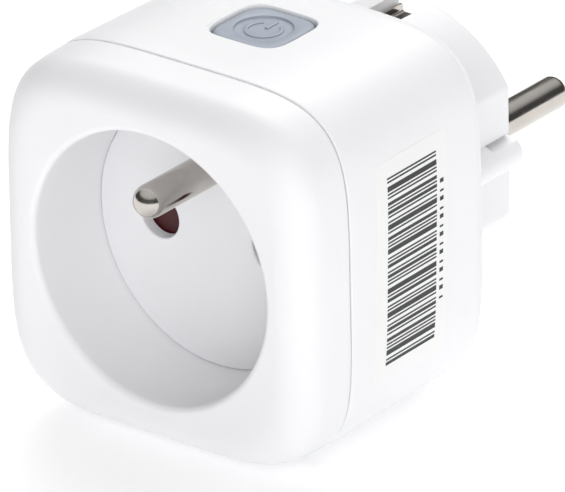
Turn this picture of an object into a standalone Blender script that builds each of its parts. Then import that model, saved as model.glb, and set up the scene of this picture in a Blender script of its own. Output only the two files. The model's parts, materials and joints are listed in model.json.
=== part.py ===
"""Plug-in power meter: a mains through-socket that measures what is plugged into it.

The socket faces -Y, the mains plug points to +Y and the power button is on top (+Z).
The origin is under the middle of the part, on the plane that it rests on.

Sizes are in millimetres, and place() turns them into metres. A point is given as
x (to the right seen from the socket), depth (behind the socket's front face) and
height (above the common axis of the socket and the plug).
"""

import math

import bmesh
import bpy
from mathutils import Matrix, Vector

MM = 0.001

# Outer case
HALF = 26.75                 # half the width and half the height of the case
POWER = 4.6                  # how square the case's outline is
FULLNESS = 1.0015            # how far it is overblown before its sides are trimmed flat
SIDES = 64                   # points round the case's outline
WALL = 1.8
GAP = 0.3                    # clearance between neighbouring pieces
SEAM = 10.0                  # depth of the joint between cover and housing
BACK = 42.0                  # depth of the case's back, round the plug
EDGE_FRONT = 5.0             # radius of the front edge
EDGE_BACK = 4.0              # radius of the back shoulder
FRONT_HALF = 26.45           # half width where the front edge starts
LIP_HALF = HALF - WALL - GAP
LIP_WALL = 1.45
LIP_START = 5.0
LIP_END = 12.6
FRONT_WALL = 2.0
SEAM_INSET = 0.1             # how far both shells draw in at the joint
LABEL = (15.3, 30.9)         # depth of the label's front and back edges
LABEL_HALF = 16.3
LABEL_OUTER = 26.5
LABEL_THICK = 0.2

# Socket
WELL_R = 19.7                # the round well that takes an appliance's plug
WELL_RIM = 0.9
WELL_WALL = 1.6
WELL_DEPTH = 14.5
PLATE = 1.8                  # thickness of the well's floor
PLATE_STEP = 0.5             # how far the floor stands into the well
PLATE_STEP_R = 19.4
PLATE_R = 20.4
PLATE_WALL = 1.5
POLE_X = 9.5                 # both socket and plug: pins 19 mm apart
POLE_HOLE_R = 3.2
PIN_R = 2.4
EARTH_H = 10.0               # height of the earth contacts above the axis
EARTH_REACH = 1.5            # how far the earth pin stands out of the front
COLLAR_R = 3.4               # the collars that hold the pins in their carriers
CARRIER_FRONT = 20.9
CARRIER_BACK = 22.5

# Shutter behind the pole holes
SHUTTER_FRONT = 16.6
SHUTTER_BACK = 18.0
LOBE_R = 3.9
HUB_R = 3.0
POST_R = 1.5
POST_PLAY = 0.06

# Plug
FACE = 59.5                  # depth of the plug's engagement face
NECK_R = 18.6
NECK_FLAT = 16.0             # half width across the two side flats
NECK_BORE_R = 16.2
NECK_BORE_FLAT = 13.9
SPIGOT_R = 18.0              # the neck's end that fits into the back wall
SPIGOT_FLAT = 15.1
SPIGOT_START = 39.9
BACK_WALL = 2.2
END_PLATE = 2.2              # thickness of the plate that closes the plug's end
RIB_R = 2.4
PIN_LENGTH = 19.2            # what stands out of the engagement face
PIN_TIP = FACE + PIN_LENGTH
EARTH_HOLE_R = 3.1
SLOT_HALF = 2.9              # the slots for the earth clips
SLOT_FLOOR = 15.0
SLOT_START = 51.0
PAD_HALF = 4.6               # the thick places in the neck under the slots
PAD_DEEP = 1.6
CLIP_WALL = 0.5
CLIP_TOP = 18.1
STUD = (52.4, 54.8)          # depth of the stud that comes in from each clip
STUD_HALF = 1.2
PLUG_CARRIER = (54.4, 57.0)
SLEEVE_R = 2.6
SLEEVE_OUTER = 3.2
SLEEVE = (42.5, 57.0)

# Button and its switch
BUTTON_DEPTH = 26.0          # depth of the button's middle
BUTTON_HALF = 5.7
BUTTON_TOP = 26.1
BUTTON_POWER = 4.0
BUTTON_PLAY = 0.3
BUTTON_DISH_R = 4.1
FLANGE_HALF = 6.4
FLANGE = 1.0
STEM_R = 1.5
STEM_END = 21.3
PLUNGER_R = 1.7
PLUNGER = (19.4, 21.0)
SWITCH_HALF = 3.1
SWITCH_TOP = 20.3

# Case screws
SCREW_AT = 16.6              # x and height of each screw's axis
BOSS_R = 2.6
REAR_BOSS_R = 3.9
BOSS_SPLIT = 27.85
HEAD_SEAT = 34.0
HEAD_R = 2.4
SHANK_R = 1.45

# Boards
BOARD_FRONT = 37.0
BOARD_BACK = 38.6
SHELF_BOTTOM = 16.0
SHELF_TOP = 17.0

MID_DEPTH = (PIN_TIP - EARTH_REACH) / 2


def place(x, depth, height):
    """A point in metres, from x, depth and height in millimetres."""
    return Vector((x, depth - MID_DEPTH, height + HALF)) * MM


for old in list(bpy.data.objects):
    bpy.data.objects.remove(old, do_unlink=True)

parts = bpy.data.collections.new("plug_in_power_meter")
cutters = bpy.data.collections.new("cutters")
bpy.context.scene.collection.children.link(parts)
bpy.context.scene.collection.children.link(cutters)


def make_material(name, colour, roughness, metallic=0.0):
    material = bpy.data.materials.new(name)
    material.use_nodes = True
    shader = material.node_tree.nodes["Principled BSDF"]
    shader.inputs["Base Color"].default_value = (*colour, 1.0)
    shader.inputs["Roughness"].default_value = roughness
    shader.inputs["Metallic"].default_value = metallic
    return material


WHITE = make_material("white_plastic", (0.82, 0.82, 0.86), 0.35)
SOCKET_WHITE = make_material("socket_plastic", (0.78, 0.78, 0.83), 0.4)
SMOKE = make_material("button_plastic", (0.3, 0.34, 0.4), 0.3)
RED = make_material("shutter_plastic", (0.35, 0.03, 0.03), 0.4)
NICKEL = make_material("nickel_plate", (0.55, 0.53, 0.5), 0.25, 1.0)
BRASS = make_material("brass", (0.7, 0.5, 0.22), 0.35, 1.0)
STEEL = make_material("steel", (0.5, 0.5, 0.52), 0.35, 1.0)
COPPER = make_material("copper", (0.72, 0.35, 0.2), 0.35, 1.0)
BOARD = make_material("circuit_board", (0.02, 0.18, 0.09), 0.5)
BLACK = make_material("black_plastic", (0.03, 0.03, 0.035), 0.45)
BLUE = make_material("blue_coating", (0.05, 0.16, 0.5), 0.4)
AMBER = make_material("insulator", (0.75, 0.66, 0.45), 0.5)
PAPER = make_material("label_paper", (0.85, 0.85, 0.84), 0.6)


# ---------------------------------------------------------------- shapes

def add_object(name, data, material):
    """Put a new object in the parts, or in the cutters if it has no material."""
    item = bpy.data.objects.new(name, data)
    if material is None:
        cutters.objects.link(item)
        item.hide_render = True
        item.display_type = "WIRE"
    else:
        parts.objects.link(item)
        data.materials.append(material)
    return item


def finish_mesh(name, mesh_data, material, smooth_angle=35.0):
    bmesh.ops.recalc_face_normals(mesh_data, faces=mesh_data.faces)
    mesh = bpy.data.meshes.new(name)
    mesh_data.to_mesh(mesh)
    mesh_data.free()
    mesh.shade_smooth()
    mesh.set_sharp_from_angle(angle=math.radians(smooth_angle))
    return add_object(name, mesh, material)


def circle(radius, count=32):
    """Points round a circle, with a flat facet on each axis."""
    angles = [(i + 0.5) * math.tau / count for i in range(count)]
    return [(radius * math.cos(a), radius * math.sin(a)) for a in angles]


def squircle(half, power=POWER, count=SIDES):
    """Points round a superellipse, a square with well rounded corners and nearly flat sides.

    The middle of each side is made quite flat, so that the case stands firmly.
    """
    ring = []
    for i in range(count):
        angle = (i + 0.5) * math.tau / count
        c = math.cos(angle)
        s = math.sin(angle)
        reach = FULLNESS * half / (abs(c) ** power + abs(s) ** power) ** (1 / power)
        reach = min(reach, half / max(abs(c), abs(s)))
        ring.append((reach * c, reach * s))
    return ring


def neck(radius, flat, count=SIDES):
    """Points round a circle that has a flat on its left and on its right."""
    ring = []
    for i in range(count):
        angle = (i + 0.5) * math.tau / count
        reach = min(radius, flat / max(abs(math.cos(angle)), 0.01))
        ring.append((reach * math.cos(angle), reach * math.sin(angle)))
    return ring


def loft(name, sections, material, axis="Y", at=(0.0, 0.0, 0.0)):
    """A closed solid through rings of points, each (level, ring), along Y or Z."""
    mesh_data = bmesh.new()
    rings = []
    for level, ring in sections:
        verts = []
        for a, b in ring:
            if axis == "Y":
                point = place(at[0] + a, at[1] + level, at[2] + b)
            else:
                point = place(at[0] + a, at[1] + b, at[2] + level)
            verts.append(mesh_data.verts.new(point))
        rings.append(verts)
    for low, high in zip(rings, rings[1:]):
        for i in range(len(low)):
            j = (i + 1) % len(low)
            mesh_data.faces.new((low[i], low[j], high[j], high[i]))
    mesh_data.faces.new(rings[0])
    mesh_data.faces.new(rings[-1])
    return finish_mesh(name, mesh_data, material)


def rod(name, radius, start, end, material, x=0.0, height=0.0, count=32):
    """A round bar along the depth."""
    return loft(name, [(start, circle(radius, count)), (end, circle(radius, count))],
                material, at=(x, 0.0, height))


def post(name, radius, low, high, material, x=0.0, depth=0.0, count=24):
    """A round bar along the height."""
    return loft(name, [(low, circle(radius, count)), (high, circle(radius, count))],
                material, axis="Z", at=(x, depth, 0.0))


def box(name, x, depth, height, material, bevel=0.0):
    """A block; x, depth and height are each a (low, high) pair."""
    mesh_data = bmesh.new()
    bmesh.ops.create_cube(mesh_data, size=1.0)
    low = place(x[0], depth[0], height[0])
    high = place(x[1], depth[1], height[1])
    bmesh.ops.scale(mesh_data, vec=high - low, verts=mesh_data.verts)
    bmesh.ops.translate(mesh_data, vec=(high + low) / 2, verts=mesh_data.verts)
    item = finish_mesh(name, mesh_data, material)
    if bevel:
        rounding = item.modifiers.new("edges", "BEVEL")
        rounding.width = bevel * MM
        rounding.segments = 2
    return item


def turned(name, profile, material, x=0.0, height=0.0, steps=32):
    """A shape of revolution along the depth; the profile is (radius, depth), deepest first."""
    mesh = bpy.data.meshes.new(name)
    verts = [(radius * MM, 0.0, (depth - MID_DEPTH) * MM) for radius, depth in profile]
    edges = [(i, i + 1) for i in range(len(verts) - 1)]
    mesh.from_pydata(verts, edges, [])
    item = add_object(name, mesh, material)
    item.location = (x * MM, 0.0, (height + HALF) * MM)
    item.rotation_euler = (math.radians(-90.0), 0.0, 0.0)
    screw = item.modifiers.new("turn", "SCREW")
    screw.steps = steps
    screw.render_steps = steps
    screw.use_merge_vertices = True
    screw.merge_threshold = 0.00001
    return item


def outline(name, points, thickness, material, x=0.0):
    """A flat outline of (depth, height) points, as thick as given along x."""
    curve = bpy.data.curves.new(name, "CURVE")
    curve.dimensions = "2D"
    curve.fill_mode = "BOTH"
    curve.extrude = thickness * MM / 2
    spline = curve.splines.new("POLY")
    spline.points.add(len(points) - 1)
    for point, (depth, height) in zip(spline.points, points):
        point.co = ((depth - MID_DEPTH) * MM, (height + HALF) * MM, 0.0, 1.0)
    spline.use_cyclic_u = True
    item = add_object(name, curve, material)
    item.location = (x * MM, 0.0, 0.0)
    item.rotation_euler = (math.radians(90.0), 0.0, math.radians(90.0))
    return item


def combine(item, tool, operation):
    step = item.modifiers.new(tool.name, "BOOLEAN")
    step.operation = operation
    step.object = tool
    step.solver = "EXACT"


def cut(item, tool):
    combine(item, tool, "DIFFERENCE")


def join(item, tool):
    combine(item, tool, "UNION")


def turn_about(item, axis):
    """Put an object's origin on its hinge."""
    item.data.transform(Matrix.Translation(-axis))
    item.location = axis


def arc(centre, radius, start, end, steps):
    """Points (along, across) on an arc about a centre, angles in degrees."""
    points = []
    for i in range(steps + 1):
        angle = math.radians(start + (end - start) * i / steps)
        points.append((centre[0] + radius * math.cos(angle),
                       centre[1] + radius * math.sin(angle)))
    return points


SCREW_SPOTS = [(x, h) for h in (SCREW_AT, -SCREW_AT) for x in (-SCREW_AT, SCREW_AT)]
SIDE_NAMES = {-1: "left", 1: "right"}
END_NAMES = {-1: "bottom", 1: "top"}


# ---------------------------------------------------------------- case

def make_front_cover():
    edge = arc((EDGE_FRONT, FRONT_HALF - EDGE_FRONT), EDGE_FRONT, 180, 90, 4)
    sections = [(depth, squircle(half)) for depth, half in edge]
    sections.append((SEAM - GAP / 2, squircle(HALF - SEAM_INSET)))
    cover = loft("front_cover", sections, WHITE)
    lip = loft("lip", [(LIP_START, squircle(LIP_HALF)), (LIP_END, squircle(LIP_HALF))], None)
    room_half = squircle(LIP_HALF - LIP_WALL)
    room = loft("cover_room", [(FRONT_WALL, room_half), (LIP_END + 1, room_half)], None)
    tube_end = WELL_DEPTH + PLATE_STEP - GAP
    tube = rod("well_tube", WELL_R + WELL_WALL, 1.0, tube_end, None, count=SIDES)
    join(cover, lip)
    cut(cover, room)
    join(cover, tube)
    for number, (x, height) in enumerate(SCREW_SPOTS, 1):
        join(cover, rod(f"cover_boss_{number}", BOSS_R, 1.0, BOSS_SPLIT - GAP / 2, None, x, height, 16))
    rim = arc((WELL_R + WELL_RIM, WELL_RIM), WELL_RIM, 180, 270, 3)
    profile = [(0.0, WELL_DEPTH + 1), (WELL_R, WELL_DEPTH + 1)] + rim
    profile += [(WELL_R + WELL_RIM, -1.0), (0.0, -1.0)]
    cut(cover, turned("well", profile, None, steps=SIDES))
    for number, (x, height) in enumerate(SCREW_SPOTS, 1):
        cut(cover, rod(f"cover_hole_{number}", SHANK_R + GAP, 8.0, BOSS_SPLIT + 1, None, x, height, 16))


def make_rear_housing():
    shoulder = arc((BACK - EDGE_BACK, HALF - EDGE_BACK), EDGE_BACK, 90, 0, 5)
    sections = [(SEAM + GAP / 2, squircle(HALF - SEAM_INSET)), (12.0, squircle(HALF))]
    sections += [(depth, squircle(half)) for depth, half in shoulder]
    housing = loft("rear_housing", sections, WHITE)
    room = squircle(HALF - WALL)
    inside = BACK - BACK_WALL
    cut(housing, loft("housing_room", [(SEAM - 1, room), (inside, room)], None))
    hole = neck(SPIGOT_R + GAP, SPIGOT_FLAT + GAP)
    cut(housing, loft("neck_hole", [(inside - 1, hole), (BACK + 1, hole)], None))
    hole_half = BUTTON_HALF + BUTTON_PLAY
    opening = loft("button_hole", [(HALF - WALL - 2, squircle(hole_half, BUTTON_POWER, 32)),
                                   (HALF + 1, squircle(hole_half, BUTTON_POWER, 32))],
                   None, axis="Z", at=(0.0, BUTTON_DEPTH, 0.0))
    cut(housing, opening)
    recess = LABEL_HALF + GAP
    cut(housing, box("label_recess", (LABEL_OUTER - LABEL_THICK - GAP, HALF + 1),
                     (LABEL[0] - GAP, LABEL[1] + GAP), (-recess, recess), None))
    for number, (x, height) in enumerate(SCREW_SPOTS, 1):
        join(housing, rod(f"rear_boss_{number}", REAR_BOSS_R, BOSS_SPLIT + GAP / 2, BACK - 1, None,
                          x, height, 20))
    for number, (x, height) in enumerate(SCREW_SPOTS, 1):
        cut(housing, rod(f"head_well_{number}", HEAD_R + GAP, HEAD_SEAT, BACK + 1, None, x, height, 20))
        cut(housing, rod(f"shank_hole_{number}", SHANK_R + GAP, BOSS_SPLIT - 1, HEAD_SEAT + 1, None,
                         x, height, 16))


def make_plug_neck():
    """The round neck of the plug, with two side flats, two ribs and the earth clips' slots."""
    foot = BACK + GAP
    spigot = neck(SPIGOT_R, SPIGOT_FLAT)
    sections = [(SPIGOT_START, spigot), (foot, spigot),
                (foot, neck(NECK_R + 0.7, NECK_FLAT + 0.5)),
                (foot + 2, neck(NECK_R + 0.2, NECK_FLAT + 0.1)),
                (FACE - 0.8, neck(NECK_R, NECK_FLAT)),
                (FACE, neck(NECK_R - 0.8, NECK_FLAT - 0.7))]
    body = loft("plug_neck", sections, WHITE)
    for side in (-1, 1):
        join(body, rod(f"rib_{SIDE_NAMES[side]}", RIB_R, foot, FACE - 0.4, None,
                       side * NECK_FLAT, 0.0, 16))
    bore = neck(NECK_BORE_R, NECK_BORE_FLAT)
    cut(body, loft("neck_room", [(SPIGOT_START - 1, bore), (FACE + 1, bore)], None))
    stud_hole = STUD_HALF + GAP
    for side, end in END_NAMES.items():
        pad = sorted((side * (SLOT_FLOOR - PAD_DEEP), side * (NECK_R - PAD_DEEP)))
        stud = sorted((side * (SLOT_FLOOR - PAD_DEEP - 1), side * (SLOT_FLOOR + 1)))
        pad_end = FACE - END_PLATE - GAP
        join(body, box(f"clip_pad_{end}", (-PAD_HALF, PAD_HALF), (foot, pad_end), pad, None))
        cut(body, clip_slot(f"clip_slot_{end}", side))
        cut(body, box(f"stud_hole_{end}", (-stud_hole, stud_hole),
                      (STUD[0] - GAP, STUD[1] + GAP), stud, None))


def clip_slot(name, side):
    """The slot for an earth clip, open outwards and at the plug's end."""
    height = sorted((side * SLOT_FLOOR, side * (NECK_R + 3)))
    return box(name, (-SLOT_HALF, SLOT_HALF), (SLOT_START, FACE + 1), height, None)


def make_plug_end_plate():
    """The plate that closes the plug, with holes for its pins and for a socket's earth pin."""
    start = FACE - END_PLATE
    ring = neck(NECK_BORE_R - GAP, NECK_BORE_FLAT - GAP)
    plate = loft("plug_end_plate", [(start, ring), (FACE, ring)], WHITE)
    for side, end in END_NAMES.items():
        cut(plate, clip_slot(f"plate_slot_{end}", side))
    for side in (-1, 1):
        cut(plate, rod(f"pin_hole_{SIDE_NAMES[side]}", PIN_R + GAP, start - 1, FACE + 1, None,
                       side * POLE_X))
    cut(plate, rod("earth_hole", EARTH_HOLE_R, start - 1, FACE + 1, None, 0.0, EARTH_H))


def make_label():
    box("side_label", (LABEL_OUTER - LABEL_THICK, LABEL_OUTER), LABEL, (-LABEL_HALF, LABEL_HALF),
        PAPER)


def make_case_screws():
    head_end = HEAD_SEAT + GAP + 1.7
    profile = [(0.0, head_end), (HEAD_R - 0.5, head_end), (HEAD_R, head_end - 0.5),
               (HEAD_R, HEAD_SEAT + GAP), (SHANK_R, HEAD_SEAT + GAP), (SHANK_R, 19.5),
               (0.6, 18.0), (0.0, 18.0)]
    for number, (x, height) in enumerate(SCREW_SPOTS, 1):
        screw = turned(f"case_screw_{number}", profile, STEEL, x, height, steps=16)
        recess = rod(f"drive_{number}", 1.15, head_end - 0.9, head_end + 1, None, x, height, 6)
        cut(screw, recess)


# ---------------------------------------------------------------- socket

def make_socket_plate():
    plate = rod("socket_plate", PLATE_R, WELL_DEPTH + PLATE_STEP, CARRIER_FRONT - GAP,
                SOCKET_WHITE, count=48)
    join(plate, rod("plate_step", PLATE_STEP_R, WELL_DEPTH, WELL_DEPTH + 1, None, count=48))
    cut(plate, rod("plate_room", PLATE_R - PLATE_WALL, WELL_DEPTH + PLATE, CARRIER_FRONT + 1,
                   None, count=48))
    for side in (-1, 1):
        cut(plate, rod(f"pole_hole_{SIDE_NAMES[side]}", POLE_HOLE_R, WELL_DEPTH - 1,
                       WELL_DEPTH + PLATE + 1, None, side * POLE_X))
    cut(plate, rod("plate_earth_hole", PIN_R + GAP, WELL_DEPTH - 1, WELL_DEPTH + PLATE + 1, None,
                   0.0, EARTH_H))


def make_socket_earth_pin():
    tip = arc((0.0, -EARTH_REACH + PIN_R), PIN_R, 0, -90, 5)
    collar = (18.4, CARRIER_FRONT - GAP)
    profile = [(0.0, 23.9), (PIN_R, 23.9), (PIN_R, collar[1]), (COLLAR_R, collar[1]),
               (COLLAR_R, collar[0]), (PIN_R, collar[0])]
    turned("socket_earth_pin", profile + tip, NICKEL, 0.0, EARTH_H, steps=24)


def make_shutter():
    """The bar that closes both pole holes, and turns aside for two pins at once."""
    middle = (SHUTTER_FRONT + SHUTTER_BACK) / 2
    shutter = rod("shutter", HUB_R, SHUTTER_FRONT, SHUTTER_BACK, RED, count=24)
    join(shutter, box("shutter_bar", (-POLE_X, POLE_X), (SHUTTER_FRONT, SHUTTER_BACK), (-2.0, 2.0), None))
    for side in (-1, 1):
        join(shutter, rod(f"lobe_{SIDE_NAMES[side]}", LOBE_R, SHUTTER_FRONT, SHUTTER_BACK, None,
                          side * POLE_X, 0.0, 24))
    cut(shutter, rod("shutter_bore", POST_R + POST_PLAY, SHUTTER_FRONT - 1, SHUTTER_BACK + 1, None))
    turn_about(shutter, place(0.0, middle, 0.0))


def make_shutter_spring():
    turns = 2.5
    steps_per_turn = 14
    curve = bpy.data.curves.new("shutter_spring", "CURVE")
    curve.dimensions = "3D"
    curve.bevel_depth = 0.25 * MM
    curve.bevel_resolution = 2
    curve.use_fill_caps = True
    spline = curve.splines.new("POLY")
    count = int(turns * steps_per_turn) + 1
    spline.points.add(count - 1)
    for i in range(count):
        angle = math.tau * i / steps_per_turn
        depth = 18.65 + 1.6 * i / (count - 1)
        point = place(2.7 * math.cos(angle), depth, 2.7 * math.sin(angle))
        spline.points[i].co = (*point, 1.0)
    add_object("shutter_spring", curve, STEEL)


def make_contact_carrier():
    carrier = rod("contact_carrier", PLATE_R, CARRIER_FRONT, CARRIER_BACK, SOCKET_WHITE, count=48)
    join(carrier, rod("shutter_post", POST_R, SHUTTER_FRONT + GAP, CARRIER_FRONT + 0.5, None))
    for side in (-1, 1):
        cut(carrier, rod(f"carrier_hole_{SIDE_NAMES[side]}", POLE_HOLE_R, CARRIER_FRONT - 1,
                         CARRIER_BACK + 1, None, side * POLE_X, 0.0, 24))
    cut(carrier, rod("carrier_earth_hole", PIN_R + GAP, CARRIER_FRONT - 1, CARRIER_BACK + 1, None,
                     0.0, EARTH_H, 24))


def make_socket_contacts():
    """Each is a springy fork that grips a pin from above and below."""
    inner = PIN_R + 0.1
    outer = inner + 0.6
    upper = [(23.0, outer + 0.7), (24.0, outer), (33.0, outer), (34.0, outer - 1.0), (34.0, 0.4),
             (36.7, 0.4)]
    inside = [(33.2, 0.0), (33.2, inner - 0.4), (32.6, inner), (24.0, inner), (23.4, inner + 0.7)]
    points = upper + [(depth, -height) for depth, height in reversed(upper)]
    points += [(depth, -height) for depth, height in reversed(inside)] + inside[1:]
    for name, x in (("line_socket_contact", -POLE_X), ("neutral_socket_contact", POLE_X)):
        outline(name, points, 6.0, BRASS, x)


# ---------------------------------------------------------------- plug

def make_plug_pins():
    edge = 1.4
    dome = [(PIN_R - edge + across, along)
            for along, across in arc((PIN_TIP - edge, 0.0), edge, 0, 90, 4)]
    collar = (52.6, PLUG_CARRIER[0] - GAP)
    profile = [(0.0, PIN_TIP)] + dome
    profile += [(PIN_R, collar[1]), (COLLAR_R, collar[1]), (COLLAR_R, collar[0]), (PIN_R, collar[0]),
                (PIN_R, 51.0), (0.0, 51.0)]
    for name, x in (("line_pin", -POLE_X), ("neutral_pin", POLE_X)):
        turned(name, profile, NICKEL, x, 0.0, steps=24)


def make_pin_carrier():
    """The insulating plate that holds the pins' collars inside the plug."""
    start, end = PLUG_CARRIER
    ring = neck(NECK_BORE_R - 2 * GAP, NECK_BORE_FLAT - 2 * GAP, 48)
    carrier = loft("pin_carrier", [(start, ring), (end, ring)], AMBER)
    past = (start - 1, end + 1)
    notch = PAD_HALF + GAP
    for side in (-1, 1):
        height = sorted((side * 12.9, side * NECK_R))
        cut(carrier, box(f"carrier_notch_{END_NAMES[side]}", (-notch, notch), past, height, None))
        cut(carrier, rod(f"carrier_pin_hole_{SIDE_NAMES[side]}", PIN_R + GAP, *past, None,
                         side * POLE_X, 0.0, 24))
    cut(carrier, rod("carrier_sleeve_hole", SLEEVE_OUTER + 0.7, *past, None, 0.0, EARTH_H, 24))


def make_earth_path():
    bottom, end = SLEEVE
    profile = [(SLEEVE_R, end), (SLEEVE_OUTER, end), (SLEEVE_OUTER, bottom), (0.0, bottom),
               (0.0, bottom + 1.5), (SLEEVE_R, bottom + 1.5), (SLEEVE_R, end)]
    turned("earth_sleeve", profile, BRASS, 0.0, EARTH_H, steps=24)
    strip = 3.0
    thick = 0.8
    box("earth_link", (-strip, strip), (24.2, bottom - GAP),
        (EARTH_H - thick / 2, EARTH_H + thick / 2), BRASS)
    box("earth_bridge", (-strip, strip), (52.8, 52.8 + thick),
        (-12.9, EARTH_H - SLEEVE_OUTER - GAP), BRASS)


def make_earth_clips():
    """A metal channel in a slot at the top of the plug, and its twin at the bottom."""
    for side, name in ((1, "earth_clip_top"), (-1, "earth_clip_bottom")):
        start = SLOT_START + GAP
        end = FACE - 0.2
        bottom = SLOT_FLOOR + GAP
        outside = sorted((side * bottom, side * CLIP_TOP))
        room = sorted((side * (bottom + CLIP_WALL + 0.1), side * (NECK_R + 1)))
        stud = sorted((side * (bottom - 2.0), side * (bottom + 0.3)))
        wall = SLOT_HALF - GAP
        inner = wall - CLIP_WALL
        clip = box(name, (-wall, wall), (start, end), outside, NICKEL)
        cut(clip, box(f"{name}_room", (-inner, inner), (start + CLIP_WALL, end + 1), room, None))
        join(clip, box(f"{name}_stud", (-STUD_HALF, STUD_HALF), STUD, stud, None))


def make_busbars():
    for name, x in (("line_busbar", -POLE_X), ("neutral_busbar", POLE_X)):
        box(name, (x - 1.6, x + 1.6), (BOARD_BACK + GAP, 50.7), (-0.4, 0.4), COPPER)


# ---------------------------------------------------------------- button

def make_power_button():
    low = HALF - WALL - GAP - FLANGE - 0.05
    edge = 0.6
    rim = arc((BUTTON_TOP - edge, BUTTON_HALF - edge), edge, 90, 0, 3)
    sections = [(low + FLANGE / 2, squircle(BUTTON_HALF, BUTTON_POWER, 32))]
    sections += [(height, squircle(half, BUTTON_POWER, 32)) for height, half in rim]
    sections.append((BUTTON_TOP, circle(BUTTON_DISH_R + 0.5)))
    sections.append((BUTTON_TOP - 0.25, circle(BUTTON_DISH_R)))
    centre = (0.0, BUTTON_DEPTH, 0.0)
    button = loft("power_button", sections, SMOKE, axis="Z", at=centre)
    flange = squircle(FLANGE_HALF, BUTTON_POWER, 32)
    join(button, loft("button_flange", [(low, flange), (low + FLANGE, flange)], None, axis="Z",
                      at=centre))
    join(button, post("button_stem", STEM_R, STEM_END, low + 0.3, None, 0.0, BUTTON_DEPTH))


def make_button_guide():
    centre = (0.0, BUTTON_DEPTH, 0.0)
    top = HALF - WALL - GAP
    outer = squircle(8.2, 6.0, 32)
    inner = squircle(FLANGE_HALF + 0.35, BUTTON_POWER, 32)
    guide = loft("button_guide", [(22.2, outer), (top, outer)], WHITE, axis="Z", at=centre)
    cut(guide, loft("guide_hole", [(21.0, inner), (top + 1, inner)], None, axis="Z", at=centre))


def make_switch():
    depth = (BUTTON_DEPTH - SWITCH_HALF, BUTTON_DEPTH + SWITCH_HALF)
    body = box("tact_switch_body", (-SWITCH_HALF, SWITCH_HALF), depth,
               (SHELF_TOP + GAP, SWITCH_TOP), BLACK)
    cut(body, post("plunger_room", PLUNGER_R + GAP, PLUNGER[0] - 0.8, SWITCH_TOP + 1, None,
                   0.0, BUTTON_DEPTH))
    post("tact_switch_plunger", PLUNGER_R, *PLUNGER, BLACK, 0.0, BUTTON_DEPTH)
    box("status_led", (4.2, 6.2), (BUTTON_DEPTH - 0.8, BUTTON_DEPTH + 0.8),
        (SHELF_TOP + GAP, SHELF_TOP + 1.2), WHITE)


# ---------------------------------------------------------------- electronics

def make_boards():
    box("control_board", (-11.0, 11.0), (22.9, 35.5), (SHELF_BOTTOM, SHELF_TOP), BOARD)
    ring = squircle(24.3, POWER, 48)
    board = loft("main_board", [(BOARD_FRONT, ring), (BOARD_BACK, ring)], BOARD)
    for number, (x, height) in enumerate(SCREW_SPOTS, 1):
        cut(board, rod(f"board_hole_{number}", REAR_BOSS_R + 0.4, BOARD_FRONT - 1, BOARD_BACK + 1,
                       None, x, height, 20))
    cut(board, box("board_slot", (-3.3, 3.3), (BOARD_FRONT - 1, BOARD_BACK + 1),
                   (EARTH_H - 0.8, EARTH_H + 0.8), None))


def make_relay():
    """A small power relay: its armature is pulled to the coil and pushes the contact shut."""
    x = (-8.9, 8.9)
    height = (-12.9, -3.4)
    start = BOARD_BACK + GAP
    end = 52.0
    wall = 0.7
    case = box("relay_case", x, (start, end), height, BLACK)
    cut(case, box("relay_room", (x[0] + wall, x[1] - wall), (start - 1, end - wall),
                  (height[0] + wall, height[1] - wall), None))
    clear = wall + GAP
    box("relay_base", (x[0] + clear, x[1] - clear), (start + 0.1, start + 1.3),
        (height[0] + clear, height[1] - clear), BLACK)
    middle = (height[0] + height[1]) / 2
    coil = [(3.4, 48.0), (3.4, 47.3), (2.9, 47.3), (2.9, 41.3), (3.4, 41.3), (3.4, 40.6)]
    turned("relay_coil", [(0.0, 48.0)] + coil + [(0.0, 40.6)], COPPER, -4.2, middle, steps=20)
    pivot_x = 1.0
    pivot_depth = 48.9
    arm_half = 2.5
    armature = box("relay_armature", (-7.6, pivot_x + 1.2), (pivot_depth - 0.4, pivot_depth + 0.4),
                   (middle - arm_half, middle + arm_half), STEEL)
    join(armature, post("armature_pivot", 0.7, middle - arm_half, middle + arm_half, None,
                        pivot_x, pivot_depth))
    turn_about(armature, place(pivot_x, pivot_depth, middle))
    yoke = [(40.6, middle - 2.6), (51.0, middle - 2.6), (51.0, middle + 2.6), (40.6, middle + 2.6)]
    outline("relay_yoke", yoke, 0.8, STEEL, 3.1)
    blade = [(40.6, middle - 2.0), (49.8, middle - 2.0), (49.8, middle + 2.0), (40.6, middle + 2.0)]
    outline("relay_contact_blade", blade, 0.4, COPPER, 5.6)


def make_components():
    front = BOARD_FRONT - GAP
    can = [(0.0, front), (3.8, front), (4.0, front - 0.4), (4.0, 25.0), (3.6, 24.5), (0.0, 24.5)]
    turned("filter_capacitor", can, BLACK, -9.0, 10.5, steps=24)
    choke = [(0.0, front), (3.5, front), (3.5, front - 1.2), (2.8, front - 1.6), (2.8, 28.6),
             (3.5, 28.2), (3.5, 27.0), (0.0, 27.0)]
    turned("bus_inductor", choke, BLACK, 9.0, 10.5, steps=20)
    varistor = [(32.0 + a, -9.8 + b) for a, b in circle(4.2, 24)]
    outline("varistor", varistor, 3.0, BLUE, 9.7)
    rod("fuse_resistor", 1.5, 27.0, front, AMBER, -14.5, -9.0, 16)
    box("current_shunt", (-11.5, -5.5), (front - 2.0, front), (-10.0, -8.6), COPPER)
    box("bridge_rectifier", (-3.2, 3.2), (front - 2.6, front), (-9.6, -4.6), BLACK, 0.3)
    back = BOARD_BACK + GAP
    box("metering_chip", (-3.0, 3.0), (back, back + 1.5), (1.0, 5.0), BLACK, 0.3)
    box("wifi_board", (-7.5, 7.5), (front - 0.8, front), (-22.0, -10.8), BOARD)
    shield = box("wifi_shield", (-5.6, 5.6), (front - 3.4, front - 1.1), (-18.6, -11.4), STEEL)
    cut(shield, box("shield_room", (-5.3, 5.3), (front - 3.1, front), (-18.3, -11.7), None))


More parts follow.
